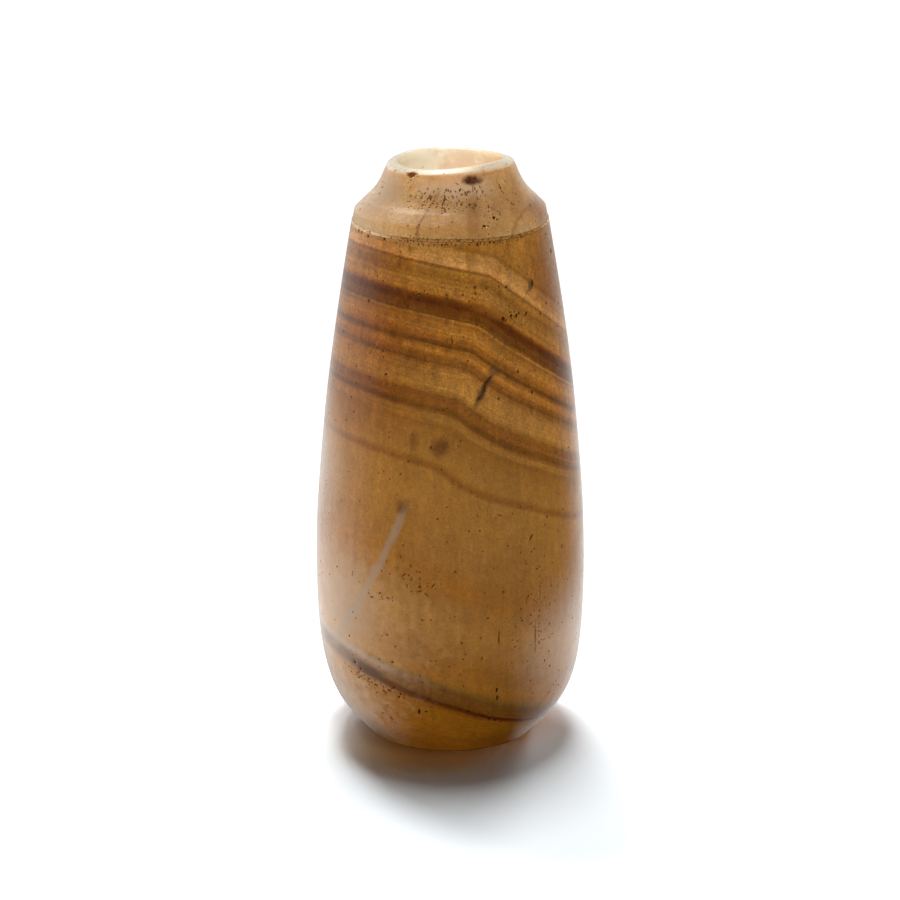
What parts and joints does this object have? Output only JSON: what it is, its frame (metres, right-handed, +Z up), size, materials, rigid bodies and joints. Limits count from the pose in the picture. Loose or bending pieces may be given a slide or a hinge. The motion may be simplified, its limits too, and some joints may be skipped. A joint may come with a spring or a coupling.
{
  "type": "stone vase",
  "caption": "Tall turned jar of banded travertine with a full low belly, a flat foot, and a separate shoulder, neck and lip stone bedded in plaster on the body's mouth.",
  "frame": {"origin": "centre of the flat foot, on the surface the jar stands on", "axes": "+Z up along the jar's turning axis; -Y faces the picture's camera, +X to its right"},
  "size_m": [0.0928, 0.0928, 0.2],
  "materials": {
    "banded_travertine": "satin",
    "pale_travertine": "satin",
    "plaster": "matte"
  },
  "bodies": {
    "root": {"jar_body": "banded_travertine", "neck_piece": "pale_travertine", "plaster_bed": "plaster"}
  },
  "joints": []
}
